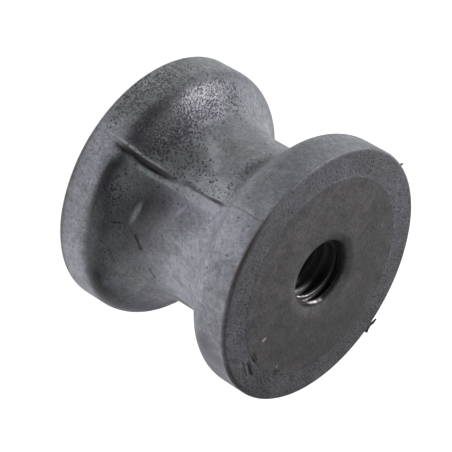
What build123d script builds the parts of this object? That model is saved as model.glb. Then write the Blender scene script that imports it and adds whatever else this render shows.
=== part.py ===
from build123d import *

import os
from math import acos, cos, degrees, radians, sin

# Bobbin vibration mount: a waisted rubber body with a steel plate and a tapped bush in each end.
# Millimetres, +Z up along the axis. The origin is the middle of the lower plate's outer face,
# so the mount stands on its lower end. The mould's parting plane is the XZ plane.

# Rubber body
body_radius = 15.0
total_height = 25.2          # over the two plates
rim_drop = 0.1               # the rubber face falls away from the plate to the rim's edge
rim_edge_radius = 0.35
waist_radius = 10.35
waist_height = 2.25          # straight stretch at the waist
groove_radius = 6.9          # concave flare from the waist to a flange
shoulder_radius = 2.7        # convex rounding from the flare to the rim
groove_shift = 0.1           # the groove sits this much nearer the lower face

# Steel plates, one bonded into each end
plate_radius = 11.7
plate_thickness = 2.0
plate_edge_chamfer = 0.12
plate_hole_radius = 5.3

# Tapped bushes, one staked into each plate; the thread is M8, bored here at its minor diameter
thread_major_radius = 4.0
thread_pitch = 1.25
thread_depth_per_pitch = 0.541266
mouth_radius = 4.2
dish_depth = 0.3             # the staked end is dished from the plate hole to the mouth
bush_shoulder_radius = 6.5
bush_length = 9.8
bore_depth = 8.6

# Flash left by the mould: a fin on the parting plane in the groove, and two torn nibs on the rim
fin_thickness = 0.25
fin_groove_radius = 6.4
fin_sunk = 0.02              # the fin runs out into the surface at the waist and at the rim
nib_thickness = 0.15
nib_below_edge = 0.45        # the nibs' upper face below the rubber's upper face
# Nib outlines as (radius, angle in degrees) corners, rooted inside the rim
long_nib_outline = [
    (14.5, 173.4),
    (15.42, 173.0),
    (15.16, 175.4),
    (15.2, 178.6),
    (15.55, 181.9),
    (14.5, 180.6),
]
short_nib_outline = [(14.5, -94.6), (15.2, -93.6), (14.5, -92.6)]

thread_minor_radius = thread_major_radius - thread_depth_per_pitch * thread_pitch
mouth_chamfer = mouth_radius - thread_minor_radius
flare_angle = degrees(acos(1 - (body_radius - waist_radius) / groove_radius))
fin_flare_angle = degrees(acos(1 - (body_radius - waist_radius) / fin_groove_radius))
waist_middle = total_height / 2 - groove_shift
waist_low = waist_middle - waist_height / 2
waist_high = waist_middle + waist_height / 2
rim_low = rim_drop
rim_high = total_height - rim_drop

# Each end's name, the height of its outer face and the direction into the mount
ends = [("lower", 0.0, 1), ("upper", total_height, -1)]


def polar(radius: float, angle: float) -> tuple[float, float]:
    """A point given by its radius and its angle in degrees."""
    return radius * cos(radians(angle)), radius * sin(radians(angle))


os.makedirs("parts", exist_ok=True)

# Rubber body, one moulding with its flash
with BuildPart() as rubber_body:
    # The turned form: rim, shoulder, flare, straight waist, flare, shoulder, rim
    with BuildSketch(Plane.XZ) as body_section:
        with BuildLine():
            waist = Line((waist_radius, waist_low), (waist_radius, waist_high))
            upper_flare = JernArc(waist @ 1, (0, 1), groove_radius, -flare_angle)
            lower_flare = JernArc(waist @ 0, (0, -1), groove_radius, flare_angle)
            Polyline(
                upper_flare @ 1,
                (body_radius, rim_high),
                (plate_radius, total_height),
                (0, total_height),
                (0, 0),
                (plate_radius, 0),
                (body_radius, rim_low),
                lower_flare @ 1,
            )
        make_face()
        shoulders = body_section.vertices().group_by(Axis.X)[-1].sort_by(Axis.Y)[1:3]
        fillet(shoulders, shoulder_radius)
        rim_corners = body_section.vertices().group_by(Axis.X)[-1].sort_by(Axis.Y)
        fillet([rim_corners[0], rim_corners[-1]], rim_edge_radius)
    revolve(axis=Axis.Z)

    # The fin on the parting plane stands proud of both flares on both sides
    with BuildSketch(Plane.XZ) as fin_section:
        with BuildLine():
            fin_waist = Line((waist_radius - fin_sunk, waist_low), (waist_radius - fin_sunk, waist_high))
            upper_fin = JernArc(fin_waist @ 1, (0, 1), fin_groove_radius, -fin_flare_angle)
            lower_fin = JernArc(fin_waist @ 0, (0, -1), fin_groove_radius, fin_flare_angle)
            Polyline(upper_fin @ 1, (0, (upper_fin @ 1).Y), (0, (lower_fin @ 1).Y), lower_fin @ 1)
        make_face()
        fin_corners = fin_section.vertices().sort_by(Axis.X)[-2:]
        fillet(fin_corners, shoulder_radius)
        mirror(about=Plane.YZ)
    extrude(amount=fin_thickness / 2, both=True)

    # Torn nibs of flash at the upper rim
    with BuildSketch(Plane.XY.offset(rim_high - nib_below_edge)):
        for outline in (long_nib_outline, short_nib_outline):
            with BuildLine():
                Polyline(*[polar(*corner) for corner in outline], close=True)
            make_face()
    extrude(amount=-nib_thickness)

    # The pockets that the plates and the bushes fill
    for _, face, inward in ends:
        with BuildSketch(Plane.XY.offset(face)):
            Circle(plate_radius)
        extrude(amount=inward * plate_thickness, mode=Mode.SUBTRACT)
        with BuildSketch(Plane.XY.offset(face)):
            Circle(bush_shoulder_radius)
        extrude(amount=inward * bush_length, mode=Mode.SUBTRACT)
rubber_body.part.label = "rubber_body"
export_step(rubber_body.part, "parts/rubber_body.step")

# Steel plates, one in each end
for end, face, inward in ends:
    with BuildPart() as plate:
        with BuildSketch(Plane.XY.offset(face)):
            Circle(plate_radius)
            Circle(plate_hole_radius, mode=Mode.SUBTRACT)
        extrude(amount=inward * plate_thickness)
        outer_face = plate.faces().filter_by(Plane.XY).sort_by(Axis.Z)[0 if inward > 0 else -1]
        outer_rim = outer_face.edges().sort_by(SortBy.RADIUS)[-1]
        chamfer(outer_rim, plate_edge_chamfer)
    plate.part.label = f"{end}_plate"
    export_step(plate.part, f"parts/{end}_plate.step")

# Tapped bushes: spigot in the plate's hole, shoulder behind it, blind bore
for end, face, inward in ends:
    with BuildPart() as bush:
        with BuildSketch(Plane.XZ):
            with BuildLine():
                Polyline(
                    (plate_hole_radius, face),
                    (mouth_radius, face + inward * dish_depth),
                    (thread_minor_radius, face + inward * (dish_depth + mouth_chamfer)),
                    (thread_minor_radius, face + inward * bore_depth),
                    (0, face + inward * bore_depth),
                    (0, face + inward * bush_length),
                    (bush_shoulder_radius, face + inward * bush_length),
                    (bush_shoulder_radius, face + inward * plate_thickness),
                    (plate_hole_radius, face + inward * plate_thickness),
                    close=True,
                )
            make_face()
        revolve(axis=Axis.Z)
    bush.part.label = f"{end}_threaded_bush"
    export_step(bush.part, f"parts/{end}_threaded_bush.step")
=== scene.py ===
"""Bobbin vibration mount: moulded rubber body, primed end plates and tapped bushes."""

import logging
import math
from dataclasses import dataclass
from enum import Enum

import bpy
import numpy as np
from mathutils import Matrix, Vector


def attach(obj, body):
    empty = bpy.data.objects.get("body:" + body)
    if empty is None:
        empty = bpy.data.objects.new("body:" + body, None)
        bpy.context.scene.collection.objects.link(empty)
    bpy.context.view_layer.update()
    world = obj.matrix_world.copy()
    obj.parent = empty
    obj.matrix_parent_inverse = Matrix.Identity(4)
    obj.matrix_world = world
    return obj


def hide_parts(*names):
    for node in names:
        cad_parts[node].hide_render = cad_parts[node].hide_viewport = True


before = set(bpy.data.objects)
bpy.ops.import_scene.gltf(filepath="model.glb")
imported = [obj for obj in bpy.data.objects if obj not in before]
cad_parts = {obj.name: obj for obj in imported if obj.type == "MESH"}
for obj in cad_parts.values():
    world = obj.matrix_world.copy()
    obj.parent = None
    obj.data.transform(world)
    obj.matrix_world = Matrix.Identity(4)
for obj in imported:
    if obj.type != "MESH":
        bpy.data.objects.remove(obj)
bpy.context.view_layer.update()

LOG = logging.getLogger("bobbin_mount")
MM = 0.001
ROOT = "root"
FULL_TURN = 2.0 * math.pi
WHITE = (1.0, 1.0, 1.0, 1.0)
LATTICE_FACTORS = (73856093, 19349663, 83492791, 668265263)
MIXING_FACTOR = 1274126177

Pair = tuple[float, float]
Triple = tuple[float, float, float]
Colour = tuple[float, float, float, float]
Limits = tuple[float, float, float, float]
Row = tuple[float, ...]
Array = np.ndarray
Socket = bpy.types.NodeSocket
Value = Socket | float | tuple[float, ...]
Inputs = dict[str | int, Value]
Object = bpy.types.Object


# ---- shapes in numpy


class End(Enum):
    """The two ends of the mount; the lower one is the upper one turned half round about the X axis."""

    UPPER = "upper"
    LOWER = "lower"


def joined(*runs: Array) -> Array:
    """Chains the runs of a section, leaving out the first point of each run after the first."""
    return np.vstack([runs[0], *(run[1:] for run in runs[1:])])


def straights(corners: tuple[Pair, ...], *spacings: float) -> Array:
    """Straight runs from corner to corner of a section: start + t (stop - start), with t from 0 to 1.

    Args:
        corners: Radius and height of each corner.
        spacings: Rough distance between points, for each run.

    Returns:
        Array (n, 2) of radius and height.
    """
    runs = []
    for start, stop, spacing in zip(corners, corners[1:], spacings):
        share = np.linspace(0.0, 1.0, max(2, round(math.dist(start, stop) / spacing) + 1))[:, None]
        runs.append(np.asarray(start) * (1.0 - share) + np.asarray(stop) * share)
    return joined(*runs)


def arc(centre: Pair, radius: float, start: float, stop: float, spacing: float) -> Array:
    """Even points on a round run: centre + radius (cos a, sin a), with a from start to stop in radians."""
    angle = np.linspace(start, stop, max(5, round(abs(stop - start) * radius / spacing) + 1))
    return np.asarray(centre) + radius * np.column_stack([np.cos(angle), np.sin(angle)])


def section_normals(section: Array) -> Array:
    """Unit normals of a section (n, 2): its direction turned a quarter to the left, out of the solid."""
    along = np.gradient(section, axis=0)
    return np.column_stack([-along[:, 1], along[:, 0]]) / np.linalg.norm(along, axis=1, keepdims=True)


def away(azimuth: Array, place: float) -> Array:
    """Azimuths in degrees measured from a place, from -180 to 180."""
    return (azimuth - place + 180.0) % 360.0 - 180.0


def bell(value: Array, half_width: float | Array) -> Array:
    """Bell of height 1 about zero: exp(-(value / half width)^2)."""
    return np.exp(-((value / half_width) ** 2))


def ease(value: Array, low: float, high: float) -> Array:
    """Smooth step from 0 at low to 1 at high: 3 t^2 - 2 t^3 of the share t between them."""
    share = np.clip((value - low) / (high - low), 0.0, 1.0)
    return share * share * (3.0 - 2.0 * share)


def window(value: Array, limits: Limits) -> Array:
    """Smooth window: rises from 0 to 1 between the first two limits and falls between the last two."""
    return ease(value, *limits[:2]) * (1.0 - ease(value, *limits[2:]))


def lines(depth: Array, pitch: float) -> Array:
    """Even lines, each half a pitch wide: the part of sin(2 pi depth / pitch) above zero."""
    return np.clip(np.sin(FULL_TURN * depth / pitch), 0.0, 1.0)


def even_azimuths(count: int) -> Array:
    """Azimuths in radians that split the full circle evenly, from half a turn back."""
    return np.linspace(-math.pi, math.pi, count, endpoint=False)


def graded_azimuths(count: int, dense: tuple[Triple, ...]) -> Array:
    """Azimuths that crowd together where fine detail lies.

    The density is 1 plus a bell of the stated gain at each stated place, and the azimuths split
    its running total into equal shares.

    Args:
        count: Number of azimuths in the full circle.
        dense: For each place its azimuth and half width in degrees, and the gain there.

    Returns:
        Array (count,) of azimuths in radians, from -180 degrees upwards.
    """
    fine = np.linspace(-180.0, 180.0, 20 * 360 + 1)
    density = 1.0 + sum(gain * bell(away(fine, place), half_width) for place, half_width, gain in dense)
    total = np.concatenate([[0.0], np.cumsum(0.5 * (density[1:] + density[:-1]))])
    return np.radians(np.interp(np.arange(count) * total[-1] / count, total, fine))


def revolved(section: Array, azimuths: Array) -> Array:
    """Carries a section (n, 2) round the axis to a grid (n, m, 3): radius cos a, radius sin a and height."""
    radius, height = section[:, :1], section[:, 1:] * np.ones_like(azimuths)
    return np.stack([radius * np.cos(azimuths), radius * np.sin(azimuths), height], axis=-1)


def spot(azimuth: float, radius: float, height: float) -> Triple:
    """The point at an azimuth in degrees, a radius and a height."""
    turn = math.radians(azimuth)
    return float(radius * math.cos(turn)), float(radius * math.sin(turn)), height


def lattice_noise(points: Array, cell: float, seed: int) -> Array:
    """Smooth random field in space.

    Every corner of a lattice of cubes has a random value from -1 to 1, and a point blends the
    eight corners of its cube by the smooth step of its place in the cube.

    Args:
        points: Array (..., 3).
        cell: Side of a cube, in the points' unit.
        seed: Chooses the field.

    Returns:
        Array (...) of values from -1 to 1.
    """
    place = points / cell
    corner = np.floor(place).astype(np.int64)
    part = ease(place - corner, 0.0, 1.0)
    total = np.zeros(points.shape[:-1])
    for step in np.ndindex(2, 2, 2):
        mixed = seed * LATTICE_FACTORS[3]
        for axis in range(3):
            mixed = mixed ^ ((corner[..., axis] + step[axis]) * LATTICE_FACTORS[axis])
        mixed = ((mixed ^ (mixed >> 13)) * MIXING_FACTOR) & 0x7FFFFFFF
        mixed = (mixed ^ (mixed >> 15)) & 0xFFFFFF
        weight = np.prod(np.where(np.array(step) == 1, part, 1.0 - part), axis=-1)
        total += weight * (mixed / float(0x7FFFFF) - 1.0)
    return total


def along_axis(height: Array) -> Array:
    """Points of a noise that changes with height alone."""
    return np.stack([height, 0.0 * height, 0.0 * height], axis=-1)


def end_poles(section: Array) -> Array:
    """The axis points, array (2, 3), level with a section's first and last points."""
    return np.column_stack([np.zeros((2, 2)), section[[0, -1], 1]])


def placed(name: str, data: bpy.types.ID) -> Object:
    """Adds an object with the data to the scene.

    Args:
        name: Name of the object.
        data: Its mesh, light or camera.

    Returns:
        The object, at the origin.
    """
    thing = bpy.data.objects.new(name, data)
    bpy.context.scene.collection.objects.link(thing)
    return thing


def mesh_object(
    name: str,
    grid: Array,
    poles: Array | None,
    layers: dict[str, Array],
    sharp_angle: float = 40.0,
) -> Object:
    """Makes a closed mesh from a grid whose columns go once round.

    Neighbouring rows and columns are joined by four-sided faces. The first and last rows end in
    a fan to a pole each, or, without poles, they join each other.

    Args:
        name: Name of the object and its mesh.
        grid: Array (rows, columns, 3) in millimetres.
        poles: The points that close the first and the last row, or None for a ring.
        layers: Attribute name to array (rows, columns) of values for the vertices.
        sharp_angle: Edges that turn by more than this many degrees are shaded sharp.

    Returns:
        The new object, at the origin.
    """
    rows, columns = grid.shape[:2]
    index = np.arange(rows * columns).reshape(rows, columns)
    right = np.roll(index, -1, axis=1)
    vertices = grid.reshape(-1, 3)
    if poles is None:
        corners = [index, np.roll(index, -1, axis=0), np.roll(right, -1, axis=0), right]
        triangles = np.empty((0, 3), dtype=int)
    else:
        corners = [index[:-1], index[1:], right[1:], right[:-1]]
        first = np.full(columns, rows * columns)
        last_fan = np.column_stack([index[-1], first + 1, right[-1]])
        triangles = np.vstack([np.column_stack([first, index[0], right[0]]), last_fan])
        vertices = np.vstack([vertices, poles])
    quads = np.stack(corners, axis=-1).reshape(-1, 4)
    starts = np.concatenate([np.arange(len(quads)) * 4, quads.size + np.arange(len(triangles)) * 3])
    mesh = bpy.data.meshes.new(name)
    mesh.vertices.add(len(vertices))
    mesh.vertices.foreach_set("co", (vertices * MM).astype(np.float32).ravel())
    mesh.loops.add(quads.size + triangles.size)
    indices = np.concatenate([quads.ravel(), triangles.ravel()]).astype(np.int32)
    mesh.loops.foreach_set("vertex_index", indices)
    mesh.polygons.add(len(starts))
    mesh.polygons.foreach_set("loop_start", starts.astype(np.int32))
    mesh.polygons.foreach_set("use_smooth", np.ones(len(starts), dtype=bool))
    mesh.update(calc_edges=True)
    for layer, values in layers.items():
        flat = values.astype(np.float32).ravel()
        if poles is not None:
            flat = np.append(flat, [values[0].mean(), values[-1].mean()]).astype(np.float32)
        mesh.attributes.new(layer, "FLOAT", "POINT").data.foreach_set("value", flat)
    mesh.set_sharp_from_angle(angle=math.radians(sharp_angle))
    return placed(name, mesh)


@dataclass(frozen=True)
class Skin:
    """Where the points of a surface lie: arrays that broadcast to its rows by its columns.

    The azimuth is in degrees. The place is the height on the side and the radius on an end face.
    """

    azimuth: Array
    place: Array
    radius: Array


@dataclass(frozen=True)
class Mark:
    """One soft oval mark on a surface.

    The azimuth and the turn are in degrees, the place is a height or a radius, and the half sizes
    run along the surface. A higher edge is a harder one.
    """

    azimuth: float
    place: float
    half_width: float
    half_height: float
    strength: float
    edge: float = 2.0
    turn: float = 0.0

    def spread(self, skin: Skin) -> Array:
        """Strength of the mark over a surface.

        With x and y the distances from the middle along the azimuth and along the section, turned
        by the mark's angle and divided by its half sizes, it is strength exp(-(x^2 + y^2)^(edge/2)).

        Args:
            skin: Where the surface's points lie.

        Returns:
            Array of the strengths.
        """
        across = np.radians(away(skin.azimuth, self.azimuth)) * skin.radius
        along = skin.place - self.place
        cosine, sine = math.cos(math.radians(self.turn)), math.sin(math.radians(self.turn))
        x = (across * cosine + along * sine) / self.half_width
        y = (along * cosine - across * sine) / self.half_height
        return self.strength * np.exp(-((x * x + y * y) ** (self.edge / 2.0)))


Marks = tuple[Mark, ...]


def marks(*rows: Row) -> Marks:
    """Marks from rows of their azimuth, place, half width, half height, strength, edge and turn."""
    return tuple(Mark(*row) for row in rows)


def painted(spread: Marks, skin: Skin) -> Array:
    """Sum of the marks over a surface."""
    return sum(mark.spread(skin) for mark in spread)


# ---- shader graphs


class Graph:
    """Wires nodes into one tree. A socket or a plain value can be given wherever a value goes."""

    def __init__(self, tree: bpy.types.NodeTree) -> None:
        """Keeps the tree and empties it."""
        self.tree = tree
        tree.nodes.clear()

    def feed(self, socket: Socket, value: Value) -> None:
        """Links a socket into another, or sets a plain value on it.

        Args:
            socket: The input.
            value: What it gets.
        """
        if isinstance(value, Socket):
            self.tree.links.new(value, socket)
        else:
            socket.default_value = value

    def add(self, kind: str, inputs: Inputs | None = None, **settings: object) -> bpy.types.Node:
        """Adds a node.

        Args:
            kind: The node's type name.
            inputs: Values or sockets for its inputs, by name or number.
            **settings: Its properties.

        Returns:
            The node.
        """
        node = self.tree.nodes.new(kind)
        for key, value in settings.items():
            setattr(node, key, value)
        for key, value in (inputs or {}).items():
            self.feed(node.inputs[key], value)
        return node

    def math(self, operation: str, *values: Value, clamp: bool = False) -> Socket:
        """Puts values through a Math node and gives its result."""
        inputs = dict(enumerate(values))
        return self.add("ShaderNodeMath", inputs, operation=operation, use_clamp=clamp).outputs[0]

    def times(self, first: Value, second: Value, clamp: bool = False) -> Socket:
        """Product of two values."""
        return self.math("MULTIPLY", first, second, clamp=clamp)

    def line(self, value: Value, slope: Value, offset: Value, clamp: bool = False) -> Socket:
        """The value times the slope, plus the offset."""
        return self.math("MULTIPLY_ADD", value, slope, offset, clamp=clamp)

    def vector(self, operation: str, first: Value, second: Value, output: int | str = 0) -> Socket:
        """Puts two vectors through a Vector Math node and gives the resulting vector, or another output."""
        return self.add("ShaderNodeVectorMath", {0: first, 1: second}, operation=operation).outputs[output]

    def scaled(self, vector: Value, by: Value) -> Socket:
        """Multiplies a vector by a number."""
        return self.add("ShaderNodeVectorMath", {0: vector, "Scale": by}, operation="SCALE").outputs[0]

    def noise(self, vector: Value, scale: Value, detail: float, roughness: float = 0.5,
              distortion: float = 0.0) -> Socket:
        """Adds a noise and gives its value, about 0.5 on average."""
        inputs = {"Vector": vector, "Scale": scale, "Detail": detail, "Roughness": roughness,
                  "Distortion": distortion}
        return self.add("ShaderNodeTexNoise", inputs).outputs[0]

    def ramp(self, value: Value, low: Value, high: Value, start: Value = 0.0, stop: Value = 1.0) -> Socket:
        """Smooth step of a value from start at low to stop at high."""
        inputs = {0: value, 1: low, 2: high, 3: start, 4: stop}
        return self.add("ShaderNodeMapRange", inputs, interpolation_type="SMOOTHSTEP").outputs[0]

    def blend(self, share: Value, first: Value, second: Value) -> Socket:
        """Mixes two colours: the first at share 0, the second at share 1."""
        inputs = {0: share, 6: first, 7: second}
        return self.add("ShaderNodeMix", inputs, data_type="RGBA", clamp_factor=True).outputs[2]

    def attribute(self, name: str) -> Socket:
        """Reads a number that the mesh carries."""
        return self.add("ShaderNodeAttribute", attribute_name=name).outputs["Fac"]

    def object_millimetres(self) -> Socket:
        """The Object coordinates in millimetres."""
        return self.scaled(self.add("ShaderNodeTexCoord").outputs["Object"], 1.0 / MM)

    def effect(self, name: str, place: Socket, **inputs: Value) -> bpy.types.bpy_prop_collection:
        """Places a shared effect at a position, feeds its other inputs and gives its outputs."""
        group = bpy.data.node_groups[name]
        return self.add("ShaderNodeGroup", {"Position": place, **inputs}, node_tree=group).outputs

    def relief(self, height: Socket) -> Socket:
        """The normal, bent by a height in millimetres."""
        return self.add("ShaderNodeBump", {"Height": height, "Distance": MM, "Strength": 1.0}).outputs[0]


class Effect(Graph):
    """A shader effect that several finishes share, as a node group."""

    def __init__(
        self, name: str, inputs: dict[str, float], *outputs: str, points: tuple[str, ...] = ()
    ) -> None:
        """Makes the empty group, which has a position.

        Args:
            name: Name of the group.
            inputs: Each number that it takes, and its usual value.
            *outputs: Names of the outputs, all numbers.
            points: Names of the inputs, besides the position, that are points.
        """
        tree = bpy.data.node_groups.new(name, "ShaderNodeTree")
        super().__init__(tree)
        sockets = [(key, "INPUT", "NodeSocketVector") for key in ("Position", *points)]
        sockets += [(key, "INPUT", "NodeSocketFloat") for key in inputs]
        for key, side, kind in sockets + [(key, "OUTPUT", "NodeSocketFloat") for key in outputs]:
            socket = tree.interface.new_socket(name=key, in_out=side, socket_type=kind)
            if key in inputs:
                socket.default_value = inputs[key]
        self.given = self.add("NodeGroupInput").outputs
        self.wanted = self.add("NodeGroupOutput").inputs

    def begun(self) -> tuple[Socket, Socket]:
        """The group's position and one over its size."""
        return self.given["Position"], self.math("DIVIDE", 1.0, self.given["Size"])

    def put_out(self, **results: Value) -> None:
        """Feeds the group's outputs by their names."""
        for key, value in results.items():
            self.feed(self.wanted[key], value)


def fine_grain_effect() -> None:
    """Fine grain of a matt surface: a two-scale noise, and the specks where its finer half peaks."""
    graph = Effect("fine_grain", {"Size": 0.3}, "Height", "Specks")
    place, scale = graph.begun()
    fine = graph.noise(place, graph.times(scale, 2.7), 1.0)
    graph.put_out(Height=graph.noise(place, scale, 3.0, 0.65), Specks=graph.ramp(fine, 0.62, 0.74))


def mottle_effect() -> None:
    """Uneven tone at every scale from the size down to a sixteenth of it: a factor about 1."""
    graph = Effect("mottled_tone", {"Size": 2.4, "Amount": 1.0}, "Factor")
    swing = graph.math("SUBTRACT", graph.noise(*graph.begun(), 4.0, 0.9, 0.4), 0.5)
    graph.put_out(Factor=graph.math("MAXIMUM", graph.line(swing, graph.given["Amount"], 1.0), 0.1))


def cloud_effect() -> None:
    """Cloudy patches: a distorted many-scale noise pushed towards 0 and 1 by the contrast."""
    graph = Effect("cloudy_patches", {"Size": 6.0, "Contrast": 0.5}, "Mask")
    half = graph.line(graph.given["Contrast"], -0.35, 0.4)
    low, high = graph.math("SUBTRACT", 0.5, half), graph.math("ADD", 0.5, half)
    graph.put_out(Mask=graph.ramp(graph.noise(*graph.begun(), 5.0, 0.6, 0.7), low, high))


def pit_effect() -> None:
    """Small ragged pits: random cells, of which the share given by the cover holds a pit each.

    A fine noise bends the position, so that the pits are not round; their sizes differ by cell.
    Shallow hollows lie between them, where a second noise rises over a limit that the cover lowers.
    """
    graph = Effect("ragged_pits", {"Size": 0.3, "Cover": 0.5}, "Pits")
    place, scale = graph.begun()
    cover = graph.given["Cover"]
    bend = graph.math("SUBTRACT", graph.noise(place, graph.times(scale, 1.3), 2.0), 0.5)
    bent = graph.vector("ADD", place, graph.times(bend, graph.times(graph.given["Size"], 1.6)))
    cells = graph.add("ShaderNodeTexVoronoi", {"Vector": bent, "Scale": scale})
    chance = graph.add("ShaderNodeSeparateColor", {0: cells.outputs["Color"]}).outputs
    reach = graph.line(chance[1], 0.36, 0.5)
    pit = graph.ramp(cells.outputs["Distance"], graph.times(reach, 0.45), reach, 1.0, 0.0)
    low = graph.math("SUBTRACT", cover, 0.05)
    pit = graph.times(pit, graph.ramp(chance[0], low, graph.math("ADD", low, 0.1), 1.0, 0.0))
    limit = graph.line(cover, -0.24, 0.69)
    shallow = graph.noise(place, graph.times(scale, 1.1), 1.0, 0.7)
    shallow = graph.ramp(shallow, limit, graph.math("ADD", limit, 0.1), 0.0, 0.88)
    graph.put_out(Pits=graph.math("MAXIMUM", pit, shallow))


def smear_effect() -> None:
    """Long smears: a noise, on a position drawn out along one axis, kept where it peaks."""
    graph = Effect("long_smears", {"Size": 1.2}, "Mask")
    graph.put_out(Mask=graph.ramp(graph.noise(*graph.begun(), 3.0, 0.55, 0.3), 0.5, 0.72))


def scratch_effect() -> None:
    """A straight scratch: 1 on the line from start to stop, falling to 0 at the width from it.

    The share of the way along the line is the dot product of the two vectors from the start, over
    the line's length squared, held between 0 and 1; a fine noise frays the edge.
    """
    graph = Effect("scratch", {"Width": 0.2}, "Mask", points=("Start", "Stop"))
    place, start, stop, width = (graph.given[key] for key in ("Position", "Start", "Stop", "Width"))
    line, reach = graph.vector("SUBTRACT", stop, start), graph.vector("SUBTRACT", place, start)
    ahead, whole = (graph.vector("DOT_PRODUCT", end, line, "Value") for end in (reach, line))
    on_line = graph.scaled(line, graph.math("DIVIDE", ahead, whole, clamp=True))
    fray = graph.line(graph.noise(place, 4.0, 2.0), 0.9, 0.5)
    distance = graph.times(graph.vector("DISTANCE", reach, on_line, "Value"), fray)
    graph.put_out(Mask=graph.ramp(distance, 0.0, width, 1.0, 0.0))


EFFECTS = (fine_grain_effect, mottle_effect, cloud_effect, pit_effect, smear_effect, scratch_effect)


@dataclass(frozen=True)
class Scratch:
    """A straight scratch or streak, darker or paler than its ground.

    Each end is an azimuth in degrees, a radius and a height in millimetres.
    """

    start: Triple
    stop: Triple
    width: float
    change: float

    def mask(self, graph: Graph, place: Socket) -> Socket:
        """Places the scratch's mask in a material."""
        ends = {"Start": spot(*self.start), "Stop": spot(*self.stop)}
        return graph.effect("scratch", place, Width=self.width, **ends)[0]


def flat_scratches(rows: tuple[Row, ...], height: float) -> tuple[Scratch, ...]:
    """Scratches on a flat face, from rows of both ends' azimuth and radius, the width and the change."""
    return tuple(Scratch((a, r, height), (b, s, height), *rest) for a, r, b, s, *rest in rows)


# ---- the finishes


@dataclass(frozen=True)
class Finish:
    """A material with one Principled BSDF."""

    name: str

    def wire(self, graph: Graph) -> Inputs:
        """What goes into the shader's inputs, by their names, wired into the material's graph."""
        raise NotImplementedError

    def build(self) -> bpy.types.Material:
        """Makes the material.

        Returns:
            The material.
        """
        material = bpy.data.materials.new(self.name)
        material.use_nodes = True
        graph = Graph(material.node_tree)
        shader = graph.add("ShaderNodeBsdfPrincipled", self.wire(graph))
        graph.add("ShaderNodeOutputMaterial", {"Surface": shader.outputs[0]})
        return material


@dataclass(frozen=True)
class BloomedRubber(Finish):
    """Black rubber with a dusty grey bloom, thinner where it was rubbed and broken by mould pits.

    The mesh carries the bloom with painted light and shade, the pitting, the gloss, the tint and the grime.
    """

    name: str = "bloomed_rubber"
    scratches: tuple[Scratch, ...] = ()
    bare: Colour = (0.0158, 0.0184, 0.0192, 1.0)
    cool_bloom: Colour = (0.368, 0.370, 0.432, 1.0)
    warm_bloom: Colour = (0.350, 0.378, 0.384, 1.0)
    grime_brown: Colour = (0.046, 0.034, 0.028, 1.0)
    specular_tint: Colour = (1.0, 0.93, 1.0, 1.0)
    bare_roughness: float = 0.46
    dusty_roughness: float = 0.72
    polish: float = -0.32
    ripple_height: float = 0.085
    grain_height: float = 0.1
    pit_depth: float = 0.06

    def dust_and_light(self, graph: Graph, place: Socket) -> tuple[Socket, Socket, Socket]:
        """Wires the bloom's cover, with its painted light and shade, uneven and broken by pits and
        scratches.

        Args:
            graph: The material's graph.
            place: Position in millimetres.

        Returns:
            The cover from 0 to 1, the pits and the dark scratches.
        """
        mottle = graph.effect("mottled_tone", place, Size=2.6, Amount=1.7)[0]
        fine = graph.effect("mottled_tone", place, Size=0.5, Amount=2.0)[0]
        clouds = graph.effect("cloudy_patches", place, Size=5.5, Contrast=0.35)[0]
        drawn = graph.vector("MULTIPLY", place, (1.0, 1.0, 0.3))
        smears = graph.effect("long_smears", drawn, Size=1.4)[0]
        pits = graph.effect("ragged_pits", place, Size=0.23, Cover=graph.attribute("pitting"))[0]
        dust_and_light = graph.line(smears, 0.16, graph.line(clouds, 0.26, 0.83))
        # the bloom attribute carries painted light and shade besides the bloom
        dust_and_light = graph.times(graph.times(dust_and_light, mottle), graph.times(fine, graph.attribute("bloom")))
        scored = 0.0
        for scratch in self.scratches:
            mask = scratch.mask(graph, place)
            dust_and_light = graph.line(mask, scratch.change, dust_and_light)
            if scratch.change < 0.0:
                scored = graph.math("MAXIMUM", mask, scored)
        return graph.times(dust_and_light, graph.line(pits, -0.95, 1.0), clamp=True), pits, scored

    def wire(self, graph: Graph) -> Inputs:
        """Wires the bloom, with its painted light and shade, over the bare rubber.

        Args:
            graph: The material's graph.

        Returns:
            What goes into the shader's inputs.
        """
        place, gloss = graph.object_millimetres(), graph.attribute("gloss")
        dust_and_light, pits, scored = self.dust_and_light(graph, place)
        bloom = graph.blend(graph.attribute("tint"), self.cool_bloom, self.warm_bloom)
        colour = graph.blend(dust_and_light, self.bare, bloom)
        dry = graph.ramp(dust_and_light, 0.0, 0.6, self.bare_roughness, self.dusty_roughness)
        ripple = graph.times(graph.noise(place, 3.0, 0.0), graph.times(gloss, self.ripple_height))
        grain = graph.effect("fine_grain", place, Size=0.3)["Height"]
        relief = graph.line(grain, graph.line(gloss, -0.07, self.grain_height), ripple)
        for hollow in (pits, scored):
            relief = graph.line(hollow, -self.pit_depth, relief)
        return {
            "Base Color": graph.blend(graph.attribute("grime"), colour, self.grime_brown),
            "Roughness": graph.line(gloss, self.polish, dry, clamp=True),
            "Specular IOR Level": graph.line(gloss, 0.5, 0.5),
            "Specular Tint": self.specular_tint,
            "Normal": graph.relief(relief),
        }


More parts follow.
